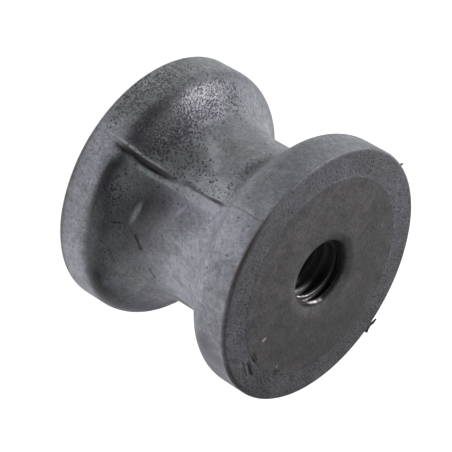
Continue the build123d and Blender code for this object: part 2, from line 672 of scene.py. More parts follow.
@dataclass(frozen=True)
class BondingPrimer(Finish):
    """Matt brownish-black primer on steel, with fine grain, pale specks, faint stains and painted light and
    shade.

    The mesh carries the stain with painted light and shade, a factor of the tone.
    """

    name: str = "bonding_primer"
    scratches: tuple[Scratch, ...] = ()
    dark: Colour = (0.040, 0.0372, 0.0392, 1.0)
    pale: Colour = (0.122, 0.113, 0.119, 1.0)
    speck: Colour = (0.19, 0.185, 0.195, 1.0)
    bare: Colour = (0.02, 0.018, 0.018, 1.0)
    chip: Colour = (0.46, 0.40, 0.43, 1.0)
    roughness: float = 0.62
    grain_height: float = 0.04

    def wire(self, graph: Graph) -> Inputs:
        """Wires the primer's tone, specks, chips and grain.

        Args:
            graph: The material's graph.

        Returns:
            What goes into the shader's inputs.
        """
        place = graph.object_millimetres()
        grain = graph.effect("fine_grain", place, Size=0.26)
        mottle = graph.effect("mottled_tone", place, Size=2.4, Amount=5.0)[0]
        fine = graph.effect("mottled_tone", place, Size=0.5, Amount=3.6)[0]
        clouds = graph.effect("cloudy_patches", place, Size=4.0, Contrast=0.2)[0]
        share = graph.times(graph.times(graph.line(clouds, 0.3, 0.35), mottle), graph.attribute("stain_and_painted_light"))
        colour = graph.blend(graph.times(share, fine), self.dark, self.pale)
        colour = graph.blend(graph.times(grain["Specks"], 0.35), colour, self.speck)
        for scratch in self.scratches:
            shown = graph.times(scratch.mask(graph, place), abs(scratch.change), clamp=True)
            colour = graph.blend(shown, colour, self.bare if scratch.change < 0.0 else self.chip)
        height = graph.times(grain["Height"], self.grain_height)
        return {"Base Color": colour, "Roughness": self.roughness, "Normal": graph.relief(height)}


@dataclass(frozen=True)
class ThreadSteel(Finish):
    """Dirty steel of the tapped bore, primed on its face.

    The mesh says how bare it is, with a half for the dirty mouth and 1 for the oily thread, where
    it is deep, which gets a painted pale tone in place of the light inside the bore, and where its
    edges are burnished and carry painted glints.
    """

    name: str = "tapped_steel"
    primer: BondingPrimer = BondingPrimer()
    burnish_and_glint_colour: Colour = (0.36, 0.34, 0.35, 1.0)
    dirty: Colour = (0.016, 0.015, 0.012, 1.0)
    oily: Colour = (0.045, 0.047, 0.045, 1.0)
    painted_bore_light: Colour = (0.275, 0.295, 0.28, 1.0)
    dull_roughness: float = 0.7
    burnished_roughness: float = 0.34

    def wire(self, graph: Graph) -> Inputs:
        """Wires the steel under its primer.

        Args:
            graph: The material's graph.

        Returns:
            What goes into the shader's inputs.
        """
        bare, primer = graph.attribute("bare"), self.primer.wire(graph)
        mottle = graph.effect("mottled_tone", graph.object_millimetres(), Size=1.2, Amount=3.0)[0]
        # burnish and painted glints: bright metal where the crest edges and the chamfer catch the key light
        worn_and_glinting = graph.times(graph.attribute("burnish_and_glint"), mottle, clamp=True)
        ground = graph.blend(graph.ramp(bare, 0.5, 1.0), self.dirty, self.oily)
        # painted light: a pale tone deep in the bore stands in for the light that reaches inside
        ground = graph.blend(graph.attribute("deep"), ground, self.painted_bore_light)
        shown = graph.times(bare, 2.0, clamp=True)
        metal = graph.blend(worn_and_glinting, ground, self.burnish_and_glint_colour)
        return primer | {
            "Base Color": graph.blend(shown, primer["Base Color"], metal),
            "Metallic": graph.times(shown, worn_and_glinting),
            "Roughness": graph.ramp(worn_and_glinting, 0.0, 1.0, self.dull_roughness, self.burnished_roughness),
            "Specular IOR Level": graph.ramp(bare, 0.0, 0.4, 0.5, 0.08),
        }


@dataclass(frozen=True)
class PaleFloor(Finish):
    """A plain white floor, lit from inside so that it stays even."""

    name: str = "pale_floor"
    albedo: Colour = (0.2, 0.2, 0.2, 1.0)
    glow: float = 1.0

    def wire(self, graph: Graph) -> Inputs:
        """Gives the plain values; nothing is wired."""
        return {"Base Color": self.albedo, "Roughness": 1.0, "Specular IOR Level": 0.0,
                "Emission Color": WHITE, "Emission Strength": self.glow}


# ---- the pieces


@dataclass(kw_only=True)
class Piece:
    """A piece of the mount, with the sizes that several pieces share, in millimetres."""

    node: str
    slot: str
    total_height: float = 25.2
    plate_radius: float = 11.7
    plate_thickness: float = 2.0
    spigot_radius: float = 5.3
    bush_radius: float = 6.5
    bush_length: float = 9.8

    def build(self) -> Object:
        """Makes the piece's mesh."""
        raise NotImplementedError

    def dress(self, finish: bpy.types.Material) -> Object:
        """Builds the piece, gives it its finish and puts it in the frame in its node's place.

        Args:
            finish: The material.

        Returns:
            The piece.
        """
        piece = self.build()
        piece.data.materials.append(finish)
        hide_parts(self.node)
        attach(piece, ROOT)
        return piece


@dataclass(kw_only=True)
class RubberBody(Piece):
    """The moulding: a waisted body of revolution with the flash that its mould left.

    Lengths are in millimetres. The section runs from the upper bush's pocket over the upper end
    face, down the side, and over the lower end face into the lower bush's pocket.
    """

    name: str = "moulded_rubber_body"
    node: str = "rubber_body"
    slot: str = "rubber"
    radius: float = 15.0
    rim_drop: float = 0.1
    rim_edge_radius: float = 0.35
    waist_radius: float = 10.35
    waist_height: float = 2.25
    groove_radius: float = 6.9
    shoulder_radius: float = 2.7
    groove_shift: float = 0.1
    axis_gap: float = 0.8
    columns: int = 440
    spacing: float = 0.21
    fine_azimuths: tuple[Triple, ...] = ((0, 95, 1), (0, 2.8, 3), (81, 5, 1.6), (180, 2.6, 1.6))
    # the parting line: heights between which it rises and fades, strength in front and behind
    lower_flare: Limits = (3.4, 4.4, 8.6, 10.8)
    upper_flare: Limits = (15.0, 16.5, 20.5, 22.0)
    waist_line: Limits = (9.0, 11.0, 17.0, 19.0)
    rim_line: Limits = (8.8, 9.6, 11.9, 12.3)
    line_strengths: tuple[Triple, ...] = ((0.0, 1.0, 0.25), (180.0, 0.6, 0.6))
    crest_height: float = 0.13
    trough_depth: float = 0.24
    trough_shift: float = 0.42
    waist_depth: float = 0.07
    rim_depth: float = 0.02
    undulation: float = 0.035
    wander: float = 0.06
    side_tone: float = 0.60
    face_tone: float = 0.29
    side_pits: float = 0.012
    face_pits: float = 0.06
    face_soiling: float = 0.22
    painted_face_shading: float = 0.055
    painted_light_azimuth: float = -60.0
    warmth: float = 0.62
    right_coolness: float = 0.46
    face_warmth: float = 0.1
    side_bloom_and_light: Marks = marks(
        # pitted side of the parting plane: lower flare, rims, waist and upper flare; the lighter marks near
        # azimuth -45 on the lower flare are a painted highlight on the glossy patch
        (-17, 4.7, 4.4, 0.85, -0.4, 3), (-45, 4.2, 3, 0.5, -0.12, 3), (-14, 6.4, 3, 1.9, -0.15, 3),
        (-45, 6.2, 3, 1.8, 0.2, 3), (-44, 7, 2.2, 0.9, 0.25, 3), (-24, 6.9, 3.2, 1, 0.14, 3),
        (-29, 2.1, 3.8, 2, 0.09, 3), (-25, 4.2, 1.4, 0.45, 0.1), (-9, 4.2, 1.8, 0.4, -0.08),
        (-45, 5, 1.6, 0.5, 0.1), (-12, 5.1, 2.4, 1.4, 0.06, 3), (-78, 4.7, 3, 0.8, -0.11, 3),
        (-64, 6.3, 1.7, 1.1, 0.18, 3), (-55, 8.3, 2, 0.7, -0.07), (-65, 12, 1.8, 1.2, 0.1, 3),
        (-46, 16, 1.7, 1.2, 0.09, 3), (-30, 1.2, 3.4, 0.9, 0.1, 3), (-5, 2.8, 1.3, 0.9, 0.11, 3),
        (-70, 4.5, 4.6, 0.6, -0.15, 3), (-4, 6, 1.2, 1.4, -0.18, 3), (-13.5, 9, 2, 1.5, -0.24, 3),
        (-5, 5.5, 0.8, 0.9, -0.14, 3), (-41, 4.2, 2.6, 0.7, -0.13, 3), (-19, 2, 3.4, 2.6, -0.12, 3),
        (-22, 22, 5.4, 3.4, -0.16, 3), (-29, 16.9, 2, 1.2, -0.26), (-6, 14.2, 1.4, 2.4, 0.52, 3),
        (-26, 10.8, 1, 1.6, 0.12), (-88, 6.5, 5, 2, 0.17, 3), (-56, 6.4, 1.2, 1, 0.16),
        (-66, 14.2, 1.8, 2.6, 0.16, 3), (-54, 14.9, 1.7, 1.6, 0.14),
        # other side: dark band at the foot of the flare, whose sharp lower edge is painted shade where the
        # shoulder turns from the light, dark flare, pale waist and rims
        (13, 4.7, 2.3, 0.7, -0.52, 3), (36, 4.5, 4.6, 0.35, -0.14, 3), (38, 5, 8.5, 0.7, -0.22, 3),
        (20, 4.25, 3, 0.42, -0.26, 4), (48, 4.15, 11, 0.38, -0.13, 6), (80, 4.7, 5, 0.7, -0.22, 4),
        (26, 5, 1.2, 0.4, -0.14, 3), (14.5, 5.1, 1.2, 0.45, 0.18, 3), (5, 4.2, 0.9, 0.4, 0.14),
        (25, 4.2, 3.4, 0.4, -0.07, 3), (45, 5, 1.3, 0.4, 0.12, 3), (88, 4.6, 3.4, 0.8, -0.11, 3),
        (7, 7, 1.2, 1.8, -0.14, 3), (75, 8.3, 2, 0.7, -0.08), (25, 9.9, 4, 1.3, -0.09, 3),
        (72, 4.5, 4.2, 0.7, -0.3, 3), (66, 5, 0.9, 0.4, -0.14), (17.5, 5.9, 1, 0.7, 0.12, 3),
        (19.5, 5.5, 0.5, 0.35, 0.12), (47.5, 5.5, 0.7, 0.3, 0.13), (33, 5.3, 0.6, 0.3, 0.07),
        (23, 9, 1.5, 0.6, 0.09, 3), (29, 7.6, 4.1, 1.8, -0.29, 3), (40, 6.9, 5.4, 2.6, -0.21, 3),
        (18, 9.3, 2.4, 1.7, -0.32, 3), (27.5, 7.55, 1.45, 0.25, 0.5, 4, -9),
        (55, 6.1, 1.2, 0.16, -0.22, 3, 8), (63, 6.6, 1.1, 0.3, 0.16), (17, 12, 1.5, 2.6, -0.14, 3),
        (39, 9.8, 2.2, 1.5, -0.11), (37.5, 13.4, 0.7, 0.6, 0.12), (58, 13.9, 0.9, 0.6, 0.14),
        (25, 8, 0.9, 0.2, -0.06), (59, 13.8, 3.6, 1.9, 0.53, 3), (82.3, 13.6, 0.5, 1.4, -0.85, 2.5, -5),
        (83.2, 12, 0.4, 1.6, -0.3, 2, 8), (88, 9.4, 1.1, 2, -0.2, 3), (33, 14.8, 2.4, 1.5, 0.27, 3),
        (20, 17, 3.4, 1.4, 0.28, 3), (48, 16.8, 2.6, 1.4, 0.24, 3), (5, 18, 1.4, 1, 0.11, 3),
        (10, 22.2, 2.9, 2.2, 0.33, 3), (20, 23.8, 3.4, 1, 0.09, 3), (33, 20.8, 3.4, 1.4, 0.09, 3),
        (34, 22.5, 6, 2.8, 0.11, 4), (60, 22, 1.4, 1.1, -0.18, 3), (60, 22.8, 3.2, 2.2, -0.09, 4),
        (74, 21.8, 4.5, 3, -0.13, 3), (2, 2.2, 2, 1.6, 0.27, 3), (20, 2.4, 3.2, 1.6, 0.2, 3),
        (40, 2.2, 1.2, 1.4, 0.11), (66, 2, 6.5, 1.9, 0.33, 4),
        # upper rim's corner: a paler worn stretch
        (-38, 24.95, 5.5, 0.09, 0.32, 3),
    )
    # along the parting line: a painted highlight on the crest and painted shade in the trough beside it,
    # among paler and darker bloom
    line_bloom_and_light: Marks = marks(
        (1.8, 6.9, 0.42, 3.2, -0.62, 4), (4.6, 5.6, 0.5, 1.1, -0.22, 3), (-0.7, 5.9, 0.15, 2.5, 1.1, 4),
        (4, 12.8, 0.55, 4, 0.62, 4), (5, 8, 0.34, 2.4, 0.62, 3), (-0.3, 14.4, 0.15, 3.4, -0.46, 4),
        (-1, 15.6, 0.14, 1.3, -0.5, 4), (4.6, 17.6, 0.8, 0.9, 0.24, 3), (2.2, 15.8, 0.3, 1.5, 0.3, 3),
        (-1.5, 11.6, 0.3, 0.9, -0.18, 3), (-0.9, 22.4, 0.09, 2.4, -0.22, 5),
        (-1.8, 22.4, 0.16, 2.3, 0.14, 4), (0.2, 2, 0.09, 2.4, -0.22, 5),
    )
    line_grime: Marks = marks(
        (1.6, 7, 0.34, 3, 0.38, 4), (-0.3, 14.2, 0.14, 3.2, 0.45, 4), (-1, 15.6, 0.15, 1.3, 0.5, 4),
        (-1.5, 11.6, 0.26, 0.9, 0.25, 3),
    )
    side_grime: Marks = marks(
        (38, 24.88, 12.5, 0.18, 0.72, 5), (80, 24.85, 3.4, 0.22, 0.8, 4), (14, 24.85, 4, 0.24, 0.4, 4),
        (-8, 24.85, 2.2, 0.2, 0.25), (40, 0.45, 13, 0.3, 0.5, 4), (27, 17, 0.16, 0.16, 0.5),
    )
    side_pitting: Marks = marks(
        (-15, 5.9, 3.3, 1.9, 1, 4), (-29, 6.8, 3.2, 2.1, 0.6, 3), (-43, 5.9, 3, 1.9, 0.2, 3),
        (-58, 6.2, 3.4, 1.8, 0.5, 3), (-28, 2.2, 6, 2.3, 0.62, 4), (-26, 16.6, 3.4, 1.3, 0.62),
        (-15, 9.8, 3.4, 2, 0.3), (-8, 13.2, 1.3, 2.6, 0.3, 3), (18, 5.6, 2, 0.7, 0.42),
    )
    side_gloss: Marks = marks(
        (-44, 5.9, 3.4, 2.1, 0.95, 3.5), (-32, 6.2, 6, 2.6, 0.3, 3),
    )
    green_tint: Marks = marks(
        (34, 6.6, 1.8, 0.9, 0.5), (18, 7.6, 2.4, 1.8, 0.4, 3), (3, 7, 1, 3, 0.8, 4),
        (84, 7, 2.4, 1.4, 0.5, 2, -30), (4.5, 10.8, 0.6, 5.6, 0.5, 4), (40, 6.2, 8.5, 2.7, 0.75, 4),
        (-22, 6.2, 5.6, 2.4, -0.6, 4), (-56, 6.2, 5, 2.2, -0.35, 4), (-48, 1.9, 8, 1.9, 0.4, 4),
        (27.5, 7.55, 1.4, 0.3, 0.8, 4, -9), (20, 9.6, 2.2, 1.2, -0.35), (47.5, 5.5, 0.8, 0.4, 0.4),
    )
    face_bloom: Marks = marks(
        (55, 13.4, 6, 1.6, 0.075), (73.5, 12.2, 1.1, 1, 0.06), (-102, 13.5, 1.6, 1.2, 0.05),
        (250, 12.6, 4, 0.5, 0.05),
    )
    face_grime: Marks = marks(
        (36, 14.88, 12.5, 0.19, 0.72, 5), (80, 14.75, 3.4, 0.3, 0.6, 4),
        (81.4, 12.79, 1.2, 0.26, 0.3, 2, 22),
    )
    face_dents: Marks = marks(
        (81.4, 12.79, 0.95, 0.2, -0.13, 2, 27), (78.6, 11.95, 0.35, 0.16, -0.03, 2, 24),
        (75.2, 13.28, 0.9, 0.13, -0.07, 2, 22), (82.5, 13.9, 1.4, 0.11, -0.04, 2, 20),
        (78, 12.95, 1, 0.12, 0.05, 3, 20), (84.5, 12.4, 1, 0.15, 0.05, 3, 22),
        (89, 12.8, 0.5, 0.2, -0.05, 3, 20), (-108, 13, 0.16, 0.24, -0.15, 3),
        (-102, 13.7, 0.15, 0.3, -0.15, 3), (104.5, 12.1, 0.2, 0.2, -0.1),
    )
    # azimuth and height, or on the face radius, of both ends, then the width and the change
    side_scratches: tuple[Row, ...] = (
        (41, 8.1, 48, 8.7, 0.19, -0.5), (41, 8.1, 42, 8.2, 0.36, -0.5), (47.2, 8.6, 48.2, 8.7, 0.36, -0.5),
        (37, 3.9, 35, 6.5, 0.16, -0.2), (11, 12.5, 18, 11.9, 0.34, 0.2), (-33, 9.6, -18, 12.7, 0.8, 0.32),
        (-37, 8.6, -25, 6.8, 0.3, -0.16), (62, 9.6, 68, 10, 0.3, -0.24), (68, 10, 75, 9.3, 0.4, -0.14),
        (76, 8.3, 92, 6.2, 0.5, 0.14), (-24.5, 16.1, -22.5, 16.9, 0.3, -0.24),
        (-31, 16, -34, 16.8, 0.4, -0.2),
    )
    end_scratches: tuple[Row, ...] = (
        (77, 12.6, 86.5, 13, 0.26, -0.4), (75.5, 11.75, 80.5, 11.85, 0.26, -0.3),
        (73, 13.1, 83, 13.5, 0.2, -0.14), (76, 12.95, 80, 13.1, 0.2, 0.14),
    )

    @property
    def waist_middle(self) -> float:
        """Height of the middle of the waist."""
        return self.total_height / 2.0 - self.groove_shift

    def end_run(self) -> Array:
        """The upper end's section: pocket, end face and rim corner, down to the straight rim.

        Returns:
            Array (n, 2) of radius and height.
        """
        top, edge = self.total_height, self.total_height - self.rim_drop
        seat, pocket = top - self.plate_thickness, top - self.bush_length
        slope = math.atan2(self.rim_drop, self.radius - self.plate_radius)
        reach = self.rim_edge_radius * math.tan((math.pi / 2.0 - slope) / 2.0)
        tangent = (self.radius - reach * math.cos(slope), edge + reach * math.sin(slope))
        corners = ((self.axis_gap, pocket), (self.bush_radius, pocket), (self.bush_radius, seat),
                   (self.plate_radius, seat), (self.plate_radius, top), tangent)
        centre = (self.radius - self.rim_edge_radius, edge - reach)
        corner = arc(centre, self.rim_edge_radius, math.pi / 2.0 - slope, 0.0, 0.07)
        return joined(straights(corners, 2.0, 2.0, 2.0, 0.5, 0.17), corner)

    def side_run(self) -> Array:
        """The upper half of the side: straight rim, shoulder and flare, down to the waist's top.

        The shoulder's circle touches the rim from inside and the groove's circle from outside, so
        the centres are the sum of the radii apart.

        Returns:
            Array (n, 2) of radius and height.
        """
        waist_top = self.waist_middle + self.waist_height / 2.0
        groove = (self.waist_radius + self.groove_radius, waist_top)
        inward = groove[0] - (self.radius - self.shoulder_radius)
        rise = math.sqrt((self.groove_radius + self.shoulder_radius) ** 2 - inward**2)
        shoulder = (self.radius - self.shoulder_radius, waist_top + rise)
        lean = math.atan2(rise, inward)
        return joined(
            straights(((self.radius, self.end_run()[-1, 1]), (self.radius, shoulder[1])), 0.24),
            arc(shoulder, self.shoulder_radius, 0.0, -lean, self.spacing),
            arc(groove, self.groove_radius, math.pi - lean, math.pi, self.spacing),
        )

    def section(self) -> Array:
        """The whole section; the lower end and flare mirror the upper ones.

        Returns:
            Array (n, 2) of radius and height.
        """
        end, side = self.end_run(), self.side_run()
        lower_end = (end * [1.0, -1.0] + [0.0, self.total_height])[::-1]
        lower_side = (side * [1.0, -1.0] + [0.0, 2.0 * self.waist_middle])[::-1]
        lower_side[-1] = lower_end[0]
        return joined(end, side, straights((side[-1], lower_side[0]), self.spacing), lower_side, lower_end)

    def exposed(self, section: Array) -> Array:
        """Which points of a section are outer skin.

        Args:
            section: Array (n, 2) of radius and height.

        Returns:
            Array (n, 1): 0 in the pockets and 1 outside.
        """
        middle, (radius, height) = self.total_height / 2.0, section.T
        on_side = radius > self.plate_radius + 0.05
        in_groove = (np.abs(height - middle) < middle - 3.0) & (radius >= self.waist_radius - 0.1)
        return (on_side | in_groove).astype(float)[:, None]

    def wandered(self, skin: Skin) -> Skin:
        """The skin with azimuths measured from a parting line that wanders gently with height.

        Args:
            skin: Where the side's points lie.

        Returns:
            The skin, each azimuth plus the line's arc over the radius.
        """
        axis = along_axis(skin.place)
        drift = lattice_noise(axis, 3.1, 12) + 0.4 * lattice_noise(axis, 1.1, 13)
        return Skin(skin.azimuth + np.degrees(self.wander * drift / skin.radius), skin.place, skin.radius)

    def flash_relief(self, skin: Skin) -> Array:
        """Relief of the parting line: a thin crest with a trough beside it.

        With x the distance round the surface from the parting plane, the crest is a narrow bell at
        x = 0 and the trough a skewed bell beside it; both fade towards the waist and the rim, where
        a shallow groove goes on.

        Args:
            skin: The side, from the wandering line.

        Returns:
            Outward offset in millimetres.
        """
        height = skin.place
        relief = np.zeros(np.broadcast(skin.azimuth, height).shape)
        ragged = 1.0 + 0.5 * lattice_noise(along_axis(height), 0.8, 11)
        waist = self.waist_depth * window(height, self.waist_line)
        rim = self.rim_depth * window(np.abs(height - self.total_height / 2.0), self.rim_line)
        for plane, lower, upper in self.line_strengths:
            x = np.radians(away(skin.azimuth, plane)) * skin.radius
            strength = window(height, self.lower_flare) * lower + window(height, self.upper_flare) * upper
            trough = bell(x - self.trough_shift, np.where(x < self.trough_shift, 0.2, 0.42))
            relief += strength * ragged * (self.crest_height * bell(x, 0.13) - self.trough_depth * trough)
            relief -= waist * bell(x, 0.12) + rim * bell(x, 0.1)
        return relief

    def layers(self, skin: Skin, grid: Array) -> dict[str, Array]:
        """What the mesh carries for the finish: bloom with painted light and shade, pitting, gloss, tint and
        grime.

        Args:
            skin: Azimuths in one row, heights and radii in one column.
            grid: Array (rows, columns, 3) of the plain surface's points.

        Returns:
            Attribute name to array (rows, columns), each from 0 to 1.
        """
        azimuth, height, radius = skin.azimuth, skin.place, skin.radius
        on_end, at_line = Skin(azimuth, radius, radius), self.wandered(skin)
        middle = self.total_height / 2.0
        face = ease(np.abs(height - middle), middle - 0.2, middle - 0.08)
        face = face * (radius > self.plate_radius - 0.3)
        side = 1.0 - face
        side_bloom_and_light = self.side_tone + painted(self.side_bloom_and_light, skin) + painted(self.line_bloom_and_light, at_line)
        # painted light and shade: the end face's bloom is lighter towards the lights' side and darker
        # opposite, by a cosine of the azimuth
        face_bloom = self.face_tone + self.painted_face_shading * np.cos(np.radians(azimuth - self.painted_light_azimuth))
        face_bloom = face_bloom + painted(self.face_bloom, on_end)
        patches = 0.2 * lattice_noise(grid, 0.75, 22) + 0.16 * lattice_noise(grid, 2.0, 23)
        face_bloom = face_bloom * (1.0 + patches + 0.1 * lattice_noise(grid, 0.35, 24))
        side_grime = painted(self.side_grime, skin) + painted(self.line_grime, at_line)
        face_grime = self.face_soiling + painted(self.face_grime, on_end)
        right = ease(away(azimuth, 0.0), -1.0, 1.0) * (1.0 - ease(azimuth, 178.0, 180.0))
        tint = self.warmth - self.right_coolness * right + 0.3 * lattice_noise(grid, 4.0, 21)
        tint = tint + painted(self.green_tint, skin)
        found = {
            # bloom: the bloom with painted light and shade on the side and on the end face
            "bloom": side_bloom_and_light * side + face_bloom * face,
            "pitting": side * (self.side_pits + painted(self.side_pitting, skin)) + self.face_pits * face,
            "gloss": side * painted(self.side_gloss, skin),
            "tint": tint * side + self.face_warmth * face,
            "grime": side_grime * np.maximum(side, 0.3) + face * face_grime,
        }
        return {name: np.clip(values, 0.0, 1.0) for name, values in found.items()}

    def scratches(self) -> tuple[Scratch, ...]:
        """The scratches and streaks on the side and on the upper end face.

        Returns:
            The scratches, with their ends on the surface.
        """
        section = self.section()
        outside = section[section[:, 0] > self.waist_radius - 0.1]
        height, radius = outside[np.argsort(outside[:, 1], kind="stable")].T[::-1]
        on_side = [
            Scratch((a, np.interp(y, height, radius), y), (b, np.interp(z, height, radius), z), *rest)
            for a, y, b, z, *rest in self.side_scratches
        ]
        return (*on_side, *flat_scratches(self.end_scratches, self.total_height))

    def build(self) -> Object:
        """Makes the moulding's mesh with what it carries for its finish.

        Returns:
            The piece.
        """
        section, azimuths = self.section(), graded_azimuths(self.columns, self.fine_azimuths)
        grid = revolved(section, azimuths)
        radius, height = section[:, :1], section[:, 1:]
        side = Skin(np.degrees(azimuths)[None, :], height, radius)
        swell = lattice_noise(grid, 8.0, 3) + 0.4 * lattice_noise(grid, 3.0, 4) - 0.3
        relief = self.flash_relief(self.wandered(side))
        upper_face = (height > self.total_height - self.rim_drop) & (radius > self.plate_radius)
        dents = np.where(upper_face, painted(self.face_dents, Skin(side.azimuth, radius, radius)), 0.0)
        offset = self.exposed(section) * (self.undulation * swell + relief + dents)
        points = grid + offset[..., None] * revolved(section_normals(section), azimuths)
        points[..., 2] = np.clip(points[..., 2], 0.0, self.total_height)
        return mesh_object(self.name, points, end_poles(section), self.layers(side, grid))


@dataclass(kw_only=True)
class FlashNib(Piece):
    """A torn nib of flash at the upper rim: a thin film rooted inside the rim, bare of bloom.

    The outline's corners and the middle are each an azimuth in degrees, a radius and a height. The
    section is the reach from the middle and the rise, as shares of the edge's and the thickness.
    """

    name: str
    outline: tuple[Triple, ...]
    middle: Triple
    node: str = "rubber_body"
    slot: str = "rubber"
    thickness: float = 0.13
    per_side: int = 10
    skin: tuple[Pair, ...] = (
        (0.35, 0.5), (0.7, 0.5), (0.96, 0.42), (1.0, 0.0), (0.96, -0.42), (0.7, -0.5), (0.35, -0.5),
    )

    def build(self) -> Object:
        """Makes the film's closed surface.

        The outline's corners are joined by even points, made ragged by a fine noise along the
        edge. The rows go from the middle of the upper skin to the edge, down it, and back to the
        middle of the lower skin.

        Returns:
            The piece.
        """
        corners, middle = np.array([spot(*corner) for corner in self.outline]), np.array(spot(*self.middle))
        share = np.linspace(0.0, 1.0, self.per_side, endpoint=False)[None, :, None]
        following = np.roll(corners, -1, axis=0)[:, None]
        edge = (corners[:, None] * (1.0 - share) + following * share).reshape(-1, 3)
        fray = lattice_noise(edge, 0.12, 31)[:, None]
        edge = middle + (edge - middle) * (1.0 + 0.05 * (fray - 1.0))
        reach, rise = np.array(self.skin).T
        grid = middle + (edge - middle)[None] * reach[:, None, None]
        grid[..., 2] += rise[:, None] * self.thickness + 0.02 * lattice_noise(grid, 0.4, 32)
        poles = np.array([(*middle[:2], grid[row, :, 2].mean()) for row in (0, -1)])
        carried = {"bloom": 0.02, "pitting": 0.0, "gloss": 0.0, "tint": 0.3, "grime": 0.1}
        layers = {name: np.full(grid.shape[:2], value) for name, value in carried.items()}
        return mesh_object(self.name, grid, poles, layers)


NIBS = (
    FlashNib(
        name="long_flash_nib",
        outline=(
            (173.9, 14.6, 24.7), (174.2, 14.95, 24.95), (174.9, 15.52, 25.04), (176.4, 15.22, 25.08),
            (177.7, 15.15, 25.08), (178.7, 15.19, 25.08), (179.7, 15.36, 25.1), (182.2, 15.42, 25.12),
            (182.3, 15.25, 25.12), (180.0, 15.12, 25.08), (179.3, 14.6, 24.7),
        ),
        middle=(177.6, 14.95, 24.95),
    ),
    FlashNib(
        name="short_flash_nib",
        outline=((-97.4, 14.6, 24.6), (-96.6, 15.42, 24.85), (-95.0, 15.06, 24.8), (-93.6, 14.6, 24.6)),
        middle=(-95.6, 14.85, 24.7),
    ),
)


@dataclass(kw_only=True)
class EndPiece(Piece):
    """A piece that each end of the mount has: worked out for the upper end, turned over for the lower."""

    end: End
    # stains with painted light and shade: the wide dark mark towards azimuth 150 is painted shade across the
    # face, the dark marks round the mouth and the lighter ones at 95 and -10 degrees are painted shade and
    # light on the dish, and the rest are pale specks and faint patches
    stains_and_painted_light: Marks = marks(
        (150, 9, 14, 4, -0.42, 3), (172, 4.9, 1.7, 0.5, -0.3, 3), (-110, 5.3, 3.6, 0.7, -0.2),
        (-150, 5.2, 2.8, 0.7, -0.25), (95, 5.4, 2.6, 0.7, 0.08), (-10, 5.1, 1.3, 0.6, 0.18),
        (73, 9.6, 0.3, 0.3, 0.35), (129, 10.1, 0.2, 0.2, 0.5), (103, 10.9, 0.2, 0.2, 0.5),
        (205, 7.3, 0.2, 0.25, 0.4), (-45, 9.2, 5, 1.8, 0.06), (20, 10.2, 3, 1.2, 0.06),
    )

    def stain_and_painted_light(self, azimuths: Array, radius: Array) -> Array:
        """Factor of an end face's tone: 1 plus the stains and painted light and shade, kept from 0.3 to 2.
        """
        skin = Skin(np.degrees(azimuths)[None, :], radius, radius)
        return np.clip(1.0 + painted(self.stains_and_painted_light, skin), 0.3, 2.0)

    def at_end(self, points: Array) -> Array:
        """Points of the upper end, turned half round about the X axis at mid height for the lower end."""
        return points * [1, -1, -1] + [0, 0, self.total_height] if self.end is End.LOWER else points


@dataclass(kw_only=True)
class EndPlate(EndPiece):
    """A steel plate bonded into one end: a flat ring with a slightly broken outer edge."""

    slot: str = "primed_plate"
    edge: float = 0.015
    columns: int = 240
    # azimuth and radius of both ends, then the width and the change
    chips: tuple[Row, ...] = (
        (107, 11.75, 103, 11.2, 0.17, -1.5), (102.4, 11.5, 108.3, 11.42, 0.15, -1.3),
        (104.6, 11.7, 106.9, 11.22, 0.14, -1.2), (76, 11.4, 81, 11.52, 0.34, -1.3),
        (73.25, 9.74, 73.5, 9.42, 0.25, 1.1), (103.3, 10.88, 103.5, 10.95, 0.15, 0.9),
    )

    def scratches(self) -> tuple[Scratch, ...]:
        """The chips and cracks of the upper face."""
        return flat_scratches(self.chips, self.total_height)

    def build(self) -> Object:
        """Makes the plate's ring of surface: outer face, broken edge, rim, back face and hole.

        Returns:
            The piece.
        """
        top, bottom, hole = self.total_height, self.total_height - self.plate_thickness, self.spigot_radius
        corners = ((hole, top), (self.plate_radius - self.edge, top), (self.plate_radius, top - self.edge),
                   (self.plate_radius, bottom), (hole, bottom), (hole, top))
        section = straights(corners, 0.25, 0.02, 0.5, 2.0, 0.5)[:-1]
        azimuths = even_azimuths(self.columns)
        grid = self.at_end(revolved(section, azimuths))
        layers = {"stain_and_painted_light": self.stain_and_painted_light(azimuths, section[:, :1])}
        return mesh_object(f"{self.end.value}_primed_plate", grid, None, layers, 30.0)


